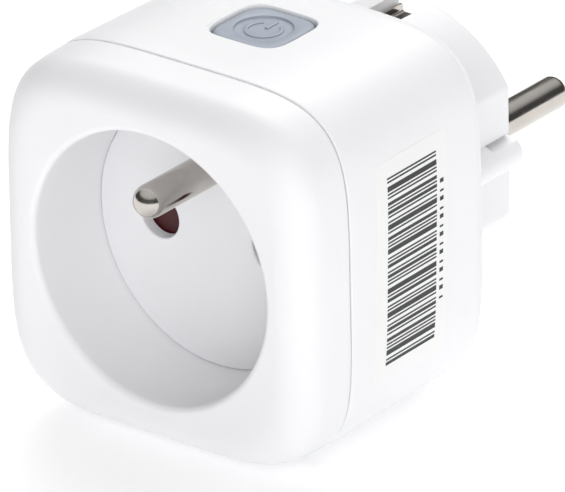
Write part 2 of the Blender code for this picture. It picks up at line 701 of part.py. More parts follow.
make_front_cover()
make_rear_housing()
make_plug_neck()
make_plug_end_plate()
make_label()
make_case_screws()
make_socket_plate()
make_socket_earth_pin()
make_shutter()
make_shutter_spring()
make_contact_carrier()
make_socket_contacts()
make_plug_pins()
make_pin_carrier()
make_earth_path()
make_earth_clips()
make_busbars()
make_power_button()
make_button_guide()
make_switch()
make_boards()
make_relay()
make_components()
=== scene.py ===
"""Plug-in power meter: the looks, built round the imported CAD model.

The socket faces -Y, the plug points to +Y and the button is on top (+Z). Sizes are in
millimetres and place() turns them into metres: x to the right seen from the socket, depth
behind the socket's front face, and height above the axis of the socket and the plug.
"""

import json
import math

import bmesh
import bpy
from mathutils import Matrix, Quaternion, Vector


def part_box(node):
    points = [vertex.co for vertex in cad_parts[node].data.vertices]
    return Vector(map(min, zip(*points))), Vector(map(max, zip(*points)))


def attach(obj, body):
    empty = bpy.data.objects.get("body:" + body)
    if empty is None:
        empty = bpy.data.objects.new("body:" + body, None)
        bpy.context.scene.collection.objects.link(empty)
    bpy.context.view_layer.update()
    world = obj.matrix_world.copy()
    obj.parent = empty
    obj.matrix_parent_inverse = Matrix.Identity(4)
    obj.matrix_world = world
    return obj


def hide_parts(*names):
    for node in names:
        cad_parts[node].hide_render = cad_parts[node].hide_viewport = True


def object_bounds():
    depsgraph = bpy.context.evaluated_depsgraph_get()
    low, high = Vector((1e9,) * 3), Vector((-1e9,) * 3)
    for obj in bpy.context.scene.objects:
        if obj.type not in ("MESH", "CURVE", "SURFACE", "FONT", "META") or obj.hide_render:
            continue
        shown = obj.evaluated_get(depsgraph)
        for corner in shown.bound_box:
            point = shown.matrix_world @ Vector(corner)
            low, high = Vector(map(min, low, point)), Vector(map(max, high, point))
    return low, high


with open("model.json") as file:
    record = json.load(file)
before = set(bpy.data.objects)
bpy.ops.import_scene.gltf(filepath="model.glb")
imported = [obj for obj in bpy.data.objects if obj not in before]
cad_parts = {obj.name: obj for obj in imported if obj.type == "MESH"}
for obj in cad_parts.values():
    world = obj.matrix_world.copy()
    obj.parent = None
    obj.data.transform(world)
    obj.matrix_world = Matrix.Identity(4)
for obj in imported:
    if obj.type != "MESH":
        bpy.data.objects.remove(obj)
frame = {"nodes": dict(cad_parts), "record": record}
cad_low, cad_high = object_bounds()

MM = 0.001
AXIS_Z = (cad_low.z + cad_high.z) / 2
FRONT_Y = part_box("front_cover")[0].y


def depth_of(y):
    """A depth in millimetres, from a Y of the frame in metres."""
    return (y - FRONT_Y) / MM


def place(x, depth, height):
    """A point of the frame in metres, from millimetres."""
    return Vector((x * MM, FRONT_Y + depth * MM, AXIS_Z + height * MM))


# Case
HALF = cad_high.x / MM               # half the case's width and height
SKIN = HALF - 0.06                   # the same, with room for the label on it
POWER = 4.6                          # how square the case's outline is
SEAM = 0.3                           # the gap between the cover and the case
COVER_END = depth_of(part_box("rear_housing")[0].y) - SEAM
HOUSING_START = COVER_END + SEAM
COVER_WALL = 2.0
COVER_DRAFT = 0.3                    # how much slimmer each side of the cover is in front
FRONT_EDGE = 5.0
BACK_EDGE = 4.0
BACK = depth_of(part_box("rear_housing")[1].y)
BACK_WALL = 2.2
DRAFT = 0.5                          # how much slimmer each side is at the back
DRAFT_START = 12.0
SEAM_EDGE = 0.22
LIP_HALF = 24.65                     # the cover's lip, which slides into the case
LIP_END = 12.6
LIP_INNER = 23.2
ROOM_HALF = 24.95                    # the room inside the case

# Socket
WELL_R = 19.7
WELL_RIM = 0.9                       # radius of the well's rounded mouth
WELL_OUTER = 21.3
FLOOR = depth_of(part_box("socket_plate")[0].y)
WELL_END = FLOOR + 0.2
PLATE = 1.8                          # thickness of the well's floor
STEP = 0.5                           # how far the floor's middle stands into the well's end
STEP_R = 19.66
PLATE_R = 20.4
PLATE_END = depth_of(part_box("socket_plate")[1].y)
POLE_X = 9.5
POLE_HOLE_R = 3.2
PIN_R = 2.4
COLLAR_R = 3.4                       # the collar that holds each pin in its plate
EARTH_COLLAR = (18.4, 20.6)
EARTH_END = 23.9
EARTH_H = 10.0
EARTH_TIP = depth_of(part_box("socket_earth_pin")[0].y)

# Plug
FACE = depth_of(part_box("plug_end_plate")[1].y)
END_PLATE = depth_of(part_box("plug_end_plate")[0].y)
NECK_R = 18.6
NECK_FLAT = 16.0                     # from the axis to the flat on either side
NECK_MIDDLE = 50.0
BORE_R = 16.2                        # the room inside the neck
BORE_FLAT = 13.9
RIB_R = 2.4
CREASE_X = (15.1, 18.0)              # the grooves along both edges of each rib
CREASE_HEIGHT = (1.9, 2.6)
CREASE_START = 53.5
PAD_HALF = 4.6                       # the thick floor under each earth clip's slot
PAD_WALL = 1.6
PIN_TIP = depth_of(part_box("line_pin")[1].y)
PIN_START = 51.0
PIN_COLLAR = (52.6, 54.1)
EARTH_HOLE_R = 3.1
SLOT_HALF = 2.9                      # the slots that the earth clips lie in
SLOT_FLOOR = 15.0
SLOT_START = 51.0

# Button
BUTTON_DEPTH = 26.0
BUTTON_HALF = 5.7
BUTTON_TOP = (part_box("power_button")[1].z - AXIS_Z) / MM
BUTTON_POWER = 4.4
FLANGE_HALF = 6.4                    # the flange that keeps the button in the case
FLANGE_LEVEL = 23.6
FLANGE = 1.0
STEM_R = 1.5
DISH_R = 4.1
DISH = 0.34

# Label, on the right side: depths and heights, and how far its faces stand out
LABEL_DEPTH = (15.6, 31.4)
LABEL_HEIGHT = (-16.3, 16.1)
LABEL_CORNER = 0.9
LABEL_SLANT = 0.038                  # it is stuck on a little askew
PAPER_FACES = (-0.03, 0.035)
INK_FACES = (0.03, 0.055)
BARS_DEPTH = (18.0, 29.0)
BARS_START = 13.6                    # the first bar is this far down, the last this far up
BARS_TOP = 13.9
BAR_UNIT = 0.25                      # width of the thinnest bar
DASHES_DEPTH = (29.7, 30.5)
DASHES_START = -8.2
DASH_PITCH = 1.3
DASH_UNIT = 0.3
DASHES = 14

# Screws
SCREW_AT = 16.6
SCREW_SPOTS = [(x, h) for h in (SCREW_AT, -SCREW_AT) for x in (-SCREW_AT, SCREW_AT)]
SCREW_TIP = 18.0
SHANK_R = 1.42
HEAD_SEAT = 34.0
HEAD_R = 2.4
HEAD = 1.7                           # thickness of a screw's head
BOSS_START = 28.0
BOSS_R = 3.9
BOSS_BORE_R = 1.75

COLUMNS = 256                        # points round the case's outline
ANGLES = [(i + 0.5) * math.tau / COLUMNS for i in range(COLUMNS)]
SMOOTH_ANGLE = math.radians(32.0)    # sharper edges than this stay sharp


# ---------------------------------------------------------------- materials

class Surface:
    """A Principled material whose colour, roughness and relief come from nodes.

    Values that are the same all over, such as IOR, are given by the shader's own input names.
    """

    def __init__(self, name, metallic=0.0, **single):
        self.material = bpy.data.materials.new(name)
        self.material.use_nodes = True
        self.tree = self.material.node_tree
        self.shader = self.tree.nodes["Principled BSDF"]
        self.shader.inputs["Metallic"].default_value = metallic
        for key, value in single.items():
            self.shader.inputs[key.replace("_", " ")].default_value = value
        self.coordinates = self.tree.nodes.new("ShaderNodeTexCoord").outputs["Object"]

    def link(self, source, target):
        self.tree.links.new(source, target)

    def noise(self, scale, detail=3.0, stretch=(1.0, 1.0, 1.0)):
        """Noise with about scale lumps a metre; a stretch below 1 draws them out along an axis."""
        mapping = self.tree.nodes.new("ShaderNodeMapping")
        mapping.inputs["Scale"].default_value = stretch
        self.link(self.coordinates, mapping.inputs["Vector"])
        texture = self.tree.nodes.new("ShaderNodeTexNoise")
        texture.inputs["Scale"].default_value = scale
        texture.inputs["Detail"].default_value = detail
        self.link(mapping.outputs["Vector"], texture.inputs["Vector"])
        return texture.outputs["Fac"]

    def colour(self, factor, stops):
        """Colours along a factor; each stop is (position, colour)."""
        ramp = self.tree.nodes.new("ShaderNodeValToRGB")
        points = ramp.color_ramp.elements
        while len(points) < len(stops):
            points.new(0.5)
        for point, (position, colour) in zip(points, stops):
            point.position = position
            point.color = (*colour, 1.0)
        self.link(factor, ramp.inputs["Fac"])
        self.link(ramp.outputs["Color"], self.shader.inputs["Base Color"])

    def roughness(self, factor, low, high):
        spread = self.tree.nodes.new("ShaderNodeMapRange")
        spread.inputs["From Min"].default_value = 0.3
        spread.inputs["From Max"].default_value = 0.7
        spread.inputs["To Min"].default_value = low
        spread.inputs["To Max"].default_value = high
        self.link(factor, spread.inputs["Value"])
        self.link(spread.outputs["Result"], self.shader.inputs["Roughness"])

    def relief(self, factor, height):
        """Bumps as high as given, in metres."""
        bump = self.tree.nodes.new("ShaderNodeBump")
        bump.inputs["Strength"].default_value = 1.0
        bump.inputs["Distance"].default_value = height
        self.link(factor, bump.inputs["Height"])
        self.link(bump.outputs["Normal"], self.shader.inputs["Normal"])


def shade(colour, amount):
    """The same colour, darker or lighter."""
    return tuple(min(1.0, channel * amount) for channel in colour)


def moulded(name, colour, rough, spread=0.03, grain=7000.0, height=0.000006, **single):
    """Plastic, or paper or lacquer, with a fine grain and a faint flow of tone.

    spread is how much darker its darkest tone is, and grain has so many lumps a metre.
    """
    surface = Surface(name, **single)
    surface.colour(surface.noise(45.0, 4.0), [(0.3, shade(colour, 1 - spread)), (0.7, colour)])
    surface.roughness(surface.noise(900.0), rough - 0.05, rough + 0.05)
    surface.relief(surface.noise(grain, 2.0), height)
    return surface.material


def plated(name, colour, rough):
    """Bare or plated metal with fine lines drawn along the depth."""
    along = (1.0, 0.06, 1.0)
    surface = Surface(name, metallic=1.0)
    surface.colour(surface.noise(160.0, 5.0), [(0.25, shade(colour, 0.86)), (0.75, colour)])
    surface.roughness(surface.noise(5200.0, 3.0, along), rough - 0.06, rough + 0.08)
    surface.relief(surface.noise(9000.0, 2.0, along), 0.000004)
    return surface.material


WHITE = moulded("white_plastic", (0.87, 0.87, 0.885), 0.42, IOR=1.5)
SOCKET_WHITE = moulded("socket_plastic", (0.83, 0.83, 0.85), 0.45, IOR=1.5)
SMOKE = moulded("button_plastic", (0.38, 0.425, 0.50), 0.36, 0.05,
                Coat_Weight=0.15, Coat_Roughness=0.2)
RED = moulded("shutter_plastic", (0.06, 0.003, 0.005), 0.45, 0.15)
NICKEL = plated("nickel_plate", (0.60, 0.565, 0.525), 0.13)
BRASS = plated("brass", (0.83, 0.62, 0.30), 0.3)
STEEL = plated("zinc_plated_steel", (0.66, 0.66, 0.68), 0.33)
COPPER = plated("copper", (0.86, 0.46, 0.30), 0.32)
BOARD = moulded("circuit_board", (0.02, 0.20, 0.10), 0.35, 0.35, grain=2500.0)
BLACK = moulded("black_plastic", (0.022, 0.022, 0.025), 0.5, 0.2)
BLUE = moulded("blue_epoxy", (0.03, 0.10, 0.42), 0.25, 0.2, grain=400.0, height=0.00003)
AMBER = moulded("insulator", (0.66, 0.56, 0.34), 0.55, 0.12)
LENS = moulded("led_lens", (0.85, 0.85, 0.80), 0.2, 0.05)
PAPER = moulded("label_paper", (0.88, 0.885, 0.875), 0.55, 0.025, grain=5200.0, height=0.000008)
INK = moulded("label_ink", (0.025, 0.025, 0.028), 0.5, 0.3, grain=6000.0)

CAD_MATERIALS = {
    "case_plastic": WHITE, "socket_plastic": SOCKET_WHITE, "button_plastic": SMOKE,
    "shutter_plastic": RED, "nickel_plate": NICKEL, "brass": BRASS, "steel": STEEL,
    "copper": COPPER, "circuit_board": BOARD, "black_plastic": BLACK, "blue_coating": BLUE,
    "insulator": AMBER, "led_lens": LENS, "label_paper": PAPER,
}
for entry in frame["record"]["subparts"]:
    slots = frame["nodes"][entry["node"]].data.materials
    slots.clear()
    slots.append(CAD_MATERIALS[entry["material_slot"]])


# ---------------------------------------------------------------- shapes

def circle(radius):
    """Reach at each angle of a circle, for rings that join squarer ones."""
    return [radius] * COLUMNS


def squircle(half, power=POWER):
    """Reach at each angle of a superellipse, a square with well rounded corners."""
    reach = []
    for angle in ANGLES:
        c = abs(math.cos(angle))
        s = abs(math.sin(angle))
        reach.append(half / (c ** power + s ** power) ** (1 / power))
    return reach


def neck(radius, flat, rib=0.0):
    """A circle with a flat on either side, and a half-round rib down each flat."""
    reach = []
    for angle in ANGLES:
        c = abs(math.cos(angle))
        s = abs(math.sin(angle))
        edge = min(radius, flat / max(c, 0.01))
        if rib > flat * s:
            edge = max(edge, flat * c + math.sqrt(rib * rib - flat * flat * s * s))
        reach.append(edge)
    return reach


def between(first, second, share):
    """A ring part of the way from one to another."""
    return [a + (b - a) * share for a, b in zip(first, second)]


def arc(centre, radius, start, end, steps):
    """Points (along, across) on an arc about a centre, angles in degrees."""
    points = []
    for i in range(steps + 1):
        angle = math.radians(start + (end - start) * i / steps)
        points.append((centre[0] + radius * math.cos(angle),
                       centre[1] + radius * math.sin(angle)))
    return points


def finish_mesh(name, mesh_data, material):
    """Make an object of a bmesh, smooth but for its sharp edges."""
    bmesh.ops.recalc_face_normals(mesh_data, faces=mesh_data.faces)
    mesh = bpy.data.meshes.new(name)
    mesh_data.to_mesh(mesh)
    mesh_data.free()
    mesh.shade_smooth()
    mesh.set_sharp_from_angle(angle=SMOOTH_ANGLE)
    item = bpy.data.objects.new(name, mesh)
    bpy.context.scene.collection.objects.link(item)
    if material is not None:
        mesh.materials.append(material)
    return item


def skin(name, rings, material, closed=False, at=(0.0, 0.0, 0.0), axis="Y"):
    """A surface through rings of reaches; each ring is (level, reaches) along Y or Z.

    A closed skin joins its last ring to its first; otherwise both ends are capped.
    """
    mesh_data = bmesh.new()
    loops = []
    for level, reaches in rings:
        loop = []
        for i, reach in enumerate(reaches):
            angle = (i + 0.5) * math.tau / len(reaches)
            a = reach * math.cos(angle)
            b = reach * math.sin(angle)
            if axis == "Y":
                point = place(at[0] + a, at[1] + level, at[2] + b)
            else:
                point = place(at[0] + a, at[1] + b, at[2] + level)
            loop.append(mesh_data.verts.new(point))
        loops.append(loop)
    pairs = list(zip(loops, loops[1:]))
    if closed:
        pairs.append((loops[-1], loops[0]))
    for low, high in pairs:
        for i in range(len(low)):
            j = (i + 1) % len(low)
            mesh_data.faces.new((low[i], low[j], high[j], high[i]))
    if not closed:
        mesh_data.faces.new(loops[0])
        mesh_data.faces.new(loops[-1])
    return finish_mesh(name, mesh_data, material)


def round_bar(name, sections, material, x=0.0, height=0.0, count=64):
    """A turned shape along the depth, from (depth, radius) sections."""
    rings = [(depth, [radius] * count) for depth, radius in sections]
    return skin(name, rings, material, at=(x, 0.0, height))


def block(name, x, depth, height, material, bevel=0.0):
    """A block, with rounded edges if it has a bevel; x, depth and height are (low, high) pairs."""
    mesh_data = bmesh.new()
    bmesh.ops.create_cube(mesh_data, size=1.0)
    low = place(x[0], depth[0], height[0])
    high = place(x[1], depth[1], height[1])
    bmesh.ops.scale(mesh_data, vec=high - low, verts=mesh_data.verts)
    bmesh.ops.translate(mesh_data, vec=(high + low) / 2, verts=mesh_data.verts)
    if bevel:
        bmesh.ops.bevel(mesh_data, geom=mesh_data.edges[:], offset=bevel * MM, segments=3,
                        profile=0.5, affect="EDGES")
    return finish_mesh(name, mesh_data, material)


def apply_steps(item):
    """Turn an object's modifiers into its mesh."""
    view = bpy.context.evaluated_depsgraph_get()
    mesh = bpy.data.meshes.new_from_object(item.evaluated_get(view))
    item.modifiers.clear()
    item.data = mesh


def carve(item, cuts=(), joins=()):
    """Join solids to an object, cut others out of it, and remove them all."""
    for tools, operation in ((joins, "UNION"), (cuts, "DIFFERENCE")):
        for tool in tools:
            step = item.modifiers.new(tool.name, "BOOLEAN")
            step.operation = operation
            step.object = tool
            step.solver = "EXACT"
    apply_steps(item)
    for tool in (*joins, *cuts):
        bpy.data.objects.remove(tool)
    item.data.shade_smooth()
    item.data.set_sharp_from_angle(angle=SMOOTH_ANGLE)
    weighted = item.modifiers.new("weighted_normals", "WEIGHTED_NORMAL")
    weighted.keep_sharp = True
    apply_steps(item)


def stands_for(piece, slot, *nodes, body="housing"):
    """Let a piece ride on a body, in the place of the CAD nodes that it shows."""
    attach(piece, body)
    if nodes:
        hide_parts(*nodes)


# ---------------------------------------------------------------- case

def make_cover():
    """The cover with the well's wall, all round: the well, the front, the side, the lip and the inside."""
    rings = [(depth, circle(WELL_R)) for depth in (WELL_END, 12.0, 8.0, 4.0, 1.4)]
    for depth, reach in arc((WELL_RIM, WELL_R + WELL_RIM), WELL_RIM, 270, 180, 8):
        rings.append((depth, circle(reach)))
    inner = circle(WELL_R + WELL_RIM)
    edge_half = SKIN - COVER_DRAFT - FRONT_EDGE
    outer = squircle(edge_half)
    rings += [(0.0, between(inner, outer, share)) for share in (0.06, 0.35, 0.65, 0.94)]
    for depth, half in arc((FRONT_EDGE, edge_half), FRONT_EDGE, 180, 90, 10):
        rings.append((depth, squircle(half)))
    top = SKIN - 0.1
    rings += [(6.4, squircle(top - 0.1)), (9.2, squircle(top))]
    for depth, half in arc((COVER_END - SEAM_EDGE, top - SEAM_EDGE), SEAM_EDGE, 90, 0, 4):
        rings.append((depth, squircle(half)))
    lip_edge = 0.2
    rings += [(COVER_END, squircle(LIP_HALF + 0.3)), (COVER_END, squircle(LIP_HALF)),
              (LIP_END - lip_edge, squircle(LIP_HALF)), (LIP_END, squircle(LIP_HALF - lip_edge)),
              (LIP_END, squircle(LIP_INNER)), (COVER_WALL, squircle(LIP_INNER)),
              (COVER_WALL, circle(WELL_OUTER)), (WELL_END, circle(WELL_OUTER))]
    cover = skin("cover_shell", rings, WHITE, closed=True)
    stands_for(cover, "case_plastic", "front_cover")


def case_half(depth):
    """Half the case's width behind the seam, where it narrows a little towards its back."""
    share = (depth - DRAFT_START) / (BACK - BACK_EDGE - DRAFT_START)
    return SKIN - DRAFT * min(max(share, 0.0), 1.0)


def housing_rings():
    """The neck from its end, its foot, the case's back, the sides up to the seam, and the inside."""
    edge = 0.8
    rings = []
    for depth, reach in arc((FACE - edge, NECK_R - edge), edge, 0, 90, 6):
        inset = NECK_R - reach
        rings.append((depth, neck(reach, NECK_FLAT - inset, RIB_R - inset * 0.6)))
    rings.append((FACE - 1.2, neck(NECK_R, NECK_FLAT, RIB_R)))
    rings.append((NECK_MIDDLE, neck(NECK_R + 0.15, NECK_FLAT + 0.1, RIB_R)))
    foot = 1.2
    wide = NECK_R + 0.25
    for depth, reach in arc((BACK + foot, wide + foot), foot, 270, 180, 6):
        out = reach - wide
        rings.append((depth, neck(reach, NECK_FLAT + 0.2 + out, RIB_R)))
    back_half = SKIN - DRAFT - BACK_EDGE
    shoulder = squircle(back_half)
    rings += [(BACK, between(rings[-1][1], shoulder, share)) for share in (0.1, 0.9)]
    for depth, half in arc((BACK - BACK_EDGE, back_half), BACK_EDGE, 0, 90, 12):
        rings.append((depth, squircle(half)))
    rings += [(depth, squircle(case_half(depth))) for depth in (37.2, 30.0, 22.0, 14.0, DRAFT_START)]
    top = SKIN - 0.1
    rings.append((HOUSING_START + 0.7, squircle(top)))
    for depth, half in arc((HOUSING_START + SEAM_EDGE, top - SEAM_EDGE), SEAM_EDGE, 90, 180, 4):
        rings.append((depth, squircle(half)))
    bore = neck(BORE_R, BORE_FLAT)
    inside = BACK - BACK_WALL
    rings += [(HOUSING_START, squircle(ROOM_HALF)), (inside, squircle(ROOM_HALF)),
              (inside, bore), (NECK_MIDDLE, bore), (FACE, bore)]
    return rings


def button_cutter():
    """The button's opening, flaring out to a rounded edge at the top of the case."""
    half = BUTTON_HALF + 0.3
    edge = 0.4
    top = case_half(BUTTON_DEPTH)
    rings = [(HALF - 4.0, squircle(half, BUTTON_POWER))]
    for height, reach in arc((top - edge, half + edge), edge, 270, 360, 5):
        rings.append((height, squircle(reach, BUTTON_POWER)))
    rings.append((HALF + 1.0, squircle(half + edge, BUTTON_POWER)))
    return skin("button_opening", rings, None, at=(0.0, BUTTON_DEPTH, 0.0), axis="Z")


def slot_cutters():
    """The earth clips' slots, open outwards and at the plug's end."""
    cuts = []
    for side in (-1, 1):
        height = sorted((side * SLOT_FLOOR, side * (NECK_R + 3)))
        depth = (SLOT_START, FACE + 2)
        cuts.append(block(f"slot_{side}", (-SLOT_HALF, SLOT_HALF), depth, height, None))
    return cuts


def make_housing():
    """The rear shell and the plug's neck, which blend into one another."""
    housing = skin("housing_shell", housing_rings(), WHITE, closed=True)
    joins = []
    cuts = [button_cutter()] + slot_cutters()
    for side in (-1, 1):
        pad = sorted((side * (SLOT_FLOOR - PAD_WALL), side * (NECK_R - PAD_WALL)))
        pad_depth = (BACK + 0.4, END_PLATE - 0.3)
        joins.append(block(f"pad_{side}", (-PAD_HALF, PAD_HALF), pad_depth, pad, None))
        for end in (-1, 1):
            x = sorted(side * reach for reach in CREASE_X)
            height = sorted(end * level for level in CREASE_HEIGHT)
            cuts.append(block(f"crease_{side}_{end}", x, (CREASE_START, FACE + 2), height, None))
    for number, (x, height) in enumerate(SCREW_SPOTS, 1):
        hole = [(BACK - 4, HEAD_R + 0.3), (BACK - 0.35, HEAD_R + 0.3), (BACK + 0.2, HEAD_R + 0.85)]
        cuts.append(round_bar(f"screw_hole_{number}", hole, None, x, height, 60))
    carve(housing, cuts, joins)
    stands_for(housing, "case_plastic", "rear_housing", "plug_neck")


def make_bosses():
    """The tubes behind the case's back that the screws sit in."""
    end = BACK - BACK_WALL - 0.02
    room = HEAD_R + 0.34
    for number, (x, height) in enumerate(SCREW_SPOTS, 1):
        outline = [(BOSS_START, BOSS_R), (end, BOSS_R), (end, room), (HEAD_SEAT, room),
                   (HEAD_SEAT, BOSS_BORE_R), (BOSS_START, BOSS_BORE_R)]
        rings = [(depth, [radius] * 48) for depth, radius in outline]
        boss = skin(f"screw_boss_{number}", rings, WHITE, closed=True, at=(x, 0.0, height))
        stands_for(boss, "case_plastic")


def make_end_plate():
    """The plate that closes the plug, with its two pin holes and the hole for a socket's earth pin."""
    gap = 0.1
    edge = 0.15
    ring = neck(BORE_R - gap, BORE_FLAT - gap)
    rim = neck(BORE_R - gap - edge, BORE_FLAT - gap - edge)
    plate = skin("end_plate", [(END_PLATE, ring), (FACE - edge, ring), (FACE, rim)], WHITE)
    cuts = slot_cutters()
    pin_hole = (PIN_R + 0.12, 0.35)
    for x, height, (radius, flare) in ((-POLE_X, 0.0, pin_hole), (POLE_X, 0.0, pin_hole),
                                       (0.0, EARTH_H, (EARTH_HOLE_R, 0.5))):
        hole = [(END_PLATE - 1, radius), (FACE - flare, radius), (FACE + 0.2, radius + flare + 0.2)]
        cuts.append(round_bar("plate_hole", hole, None, x, height, 60))
    carve(plate, cuts)
    stands_for(plate, "case_plastic", "plug_end_plate")


def side_point(depth, height, proud):
    """A point beside the case's right side, so far proud of it."""
    half = case_half(depth)
    x = half * (1 - (abs(height) / half) ** POWER) ** (1 / POWER)
    return place(x + proud, depth, height)


def side_patch(mesh_data, depth, height, faces, corner=0.0):
    """A thin closed sheet that follows the case's right side, with rounded corners if asked for.

    depth and height are (low, high) pairs, and faces says how far proud its two sides are.
    """
    steps = max(2, int((height[1] - height[0]) / 0.8))
    rows = [height[0] + (height[1] - height[0]) * i / steps for i in range(steps + 1)]
    if corner:
        turn = [corner * (1 - math.cos(math.radians(15 * i))) for i in range(7)]
        rows = [height[0] + t for t in turn] + rows[2:-2] + [height[1] - t for t in reversed(turn)]
    grid = []
    for row in rows:
        near = min(row - height[0], height[1] - row)
        inset = 0.0
        if near < corner:
            inset = corner - math.sqrt(max(0.0, corner ** 2 - (corner - near) ** 2))
        slant = LABEL_SLANT * row
        ends = (depth[0] + slant + inset, depth[1] + slant - inset)
        grid.append([[mesh_data.verts.new(side_point(end, row, proud)) for end in ends]
                     for proud in faces])
    for first, second in zip(grid, grid[1:]):
        for (a, b), (c, d) in (((first[0][0], first[0][1]), (second[0][0], second[0][1])),
                               ((first[1][0], first[1][1]), (second[1][0], second[1][1])),
                               ((first[0][0], first[1][0]), (second[0][0], second[1][0])),
                               ((first[0][1], first[1][1]), (second[0][1], second[1][1]))):
            mesh_data.faces.new((a, b, d, c))
    for end in (grid[0], grid[-1]):
        mesh_data.faces.new((end[0][0], end[0][1], end[1][1], end[1][0]))


def make_label():
    """The paper, and on it bars in a made-up order and a column of dashes."""
    sheet = bmesh.new()
    side_patch(sheet, LABEL_DEPTH, LABEL_HEIGHT, PAPER_FACES, LABEL_CORNER)
    label = finish_mesh("label_sheet", sheet, PAPER)
    stands_for(label, "label_paper", "side_label")
    ink = bmesh.new()
    widths = (2, 1, 3, 1, 1, 2, 1, 2, 1, 1, 3, 1, 1)
    spaces = (1, 2, 1, 1, 1, 2, 1)
    height = -BARS_START
    number = 0
    while height < BARS_START:
        width = widths[number % len(widths)] * BAR_UNIT
        side_patch(ink, BARS_DEPTH, (height, min(height + width, BARS_TOP)), INK_FACES)
        height += width + spaces[number % len(spaces)] * BAR_UNIT
        number += 1
    for step in range(DASHES):
        row = DASHES_START + DASH_PITCH * step
        length = DASH_UNIT + DASH_UNIT * (step % 2)
        side_patch(ink, DASHES_DEPTH, (row, row + length), INK_FACES)
    print_marks = finish_mesh("label_print", ink, INK)
    stands_for(print_marks, "label_paper")


def make_screws():
    """Case screws with a cross-shaped drive, as seen down their wells in the case's back."""
    seat = HEAD_SEAT + 0.3
    end = seat + HEAD
    arm = 1.3
    slot = 0.32
    for number, (x, height) in enumerate(SCREW_SPOTS, 1):
        outline = [(SCREW_TIP, 0.5), (SCREW_TIP + 1.6, SHANK_R), (seat, SHANK_R), (seat, HEAD_R),
                   (end - 0.5, HEAD_R), (end - 0.2, HEAD_R - 0.14), (end, HEAD_R - 0.5)]
        screw = round_bar(f"screw_{number}", outline, STEEL, x, height, 48)
        cuts = []
        for name, across, up in (("drive_a", arm, slot), ("drive_b", slot, arm)):
            cuts.append(block(name, (x - across, x + across), (end - 1.0, end + 1.0),
                              (height - up, height + up), None))
        carve(screw, cuts)
        stands_for(screw, "steel", f"case_screw_{number}")


# ---------------------------------------------------------------- socket

def make_socket_floor():
    """The well's floor, with a rim behind it and holes for the pole pins and the earth pin."""
    middle = 1.0
    edge = 0.12
    rim = PLATE_R - 1.5
    rings = [(FLOOR, circle(middle)), (FLOOR, circle(10.0)), (FLOOR, circle(STEP_R - edge)),
             (FLOOR + edge, circle(STEP_R)), (FLOOR + STEP, circle(STEP_R)),
             (FLOOR + STEP, circle(PLATE_R)), (PLATE_END, circle(PLATE_R)),
             (PLATE_END, circle(rim)), (FLOOR + PLATE, circle(rim)), (FLOOR + PLATE, circle(middle))]
    floor = skin("well_floor", rings, SOCKET_WHITE)
    cuts = []
    pole_hole = (POLE_HOLE_R, 0.3)
    for x, height, (radius, flare) in ((-POLE_X, 0.0, pole_hole), (POLE_X, 0.0, pole_hole),
                                       (0.0, EARTH_H, (PIN_R + 0.08, 0.1))):
        sections = [(FLOOR - 0.2, radius + flare + 0.2), (FLOOR + flare * 0.3, radius + flare * 0.3),
                    (FLOOR + flare, radius), (FLOOR + PLATE + 1, radius)]
        cuts.append(round_bar("floor_hole", sections, None, x, height))
    carve(floor, cuts)
    stands_for(floor, "socket_plastic", "socket_plate")


def make_pins():
    """The socket's earth pin with a round tip, and the plug's two pins with rounded edges."""
    earth = [(EARTH_TIP + PIN_R + along, max(across, 0.02))
             for along, across in arc((0.0, 0.0), PIN_R, 180, 90, 8)]
    start, end = EARTH_COLLAR
    earth += [(start, PIN_R), (start, COLLAR_R), (end, COLLAR_R), (end, PIN_R), (EARTH_END, PIN_R)]
    piece = round_bar("earth_pin_body", earth, NICKEL, 0.0, EARTH_H)
    stands_for(piece, "nickel_plate", "socket_earth_pin")
    edge = 1.4
    start, end = PIN_COLLAR
    for name, x in (("line_pin", -POLE_X), ("neutral_pin", POLE_X)):
        pole = [(PIN_TIP - edge + along, PIN_R - edge + across)
                for along, across in arc((0.0, 0.0), edge, 0, 90, 8)]
        pole += [(end, PIN_R), (end, COLLAR_R), (start, COLLAR_R), (start, PIN_R), (PIN_START, PIN_R)]
        piece = round_bar(f"{name}_body", pole, NICKEL, x)
        stands_for(piece, "nickel_plate", name)


def make_shutter():
    """A bar with a round lobe behind each pole hole, which turns on the post in its middle."""
    low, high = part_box("shutter")
    front = depth_of(low.y)
    back = depth_of(high.y)
    lobe_r = 3.9
    hub_r = 3.0
    bar_half = 2.0
    bore_r = 1.56
    edge = 0.2
    sections = [(front, lobe_r - edge), (front + edge, lobe_r), (back - edge, lobe_r),
                (back, lobe_r - edge)]
    shutter = round_bar("shutter_bar", sections, RED, -POLE_X)
    hub = round_bar("hub", [(front, hub_r), (back, hub_r)], None)
    far = round_bar("far_lobe", sections, None, POLE_X)
    bar_depth = (front + 0.02, back - 0.02)
    bar = block("bar", (-POLE_X, POLE_X), bar_depth, (-bar_half, bar_half), None)
    bore = round_bar("bore", [(front - 1, bore_r), (back + 1, bore_r)], None)
    carve(shutter, [bore], [hub, far, bar])
    stands_for(shutter, "shutter_plastic", "shutter", body="shutter")


# ---------------------------------------------------------------- plug

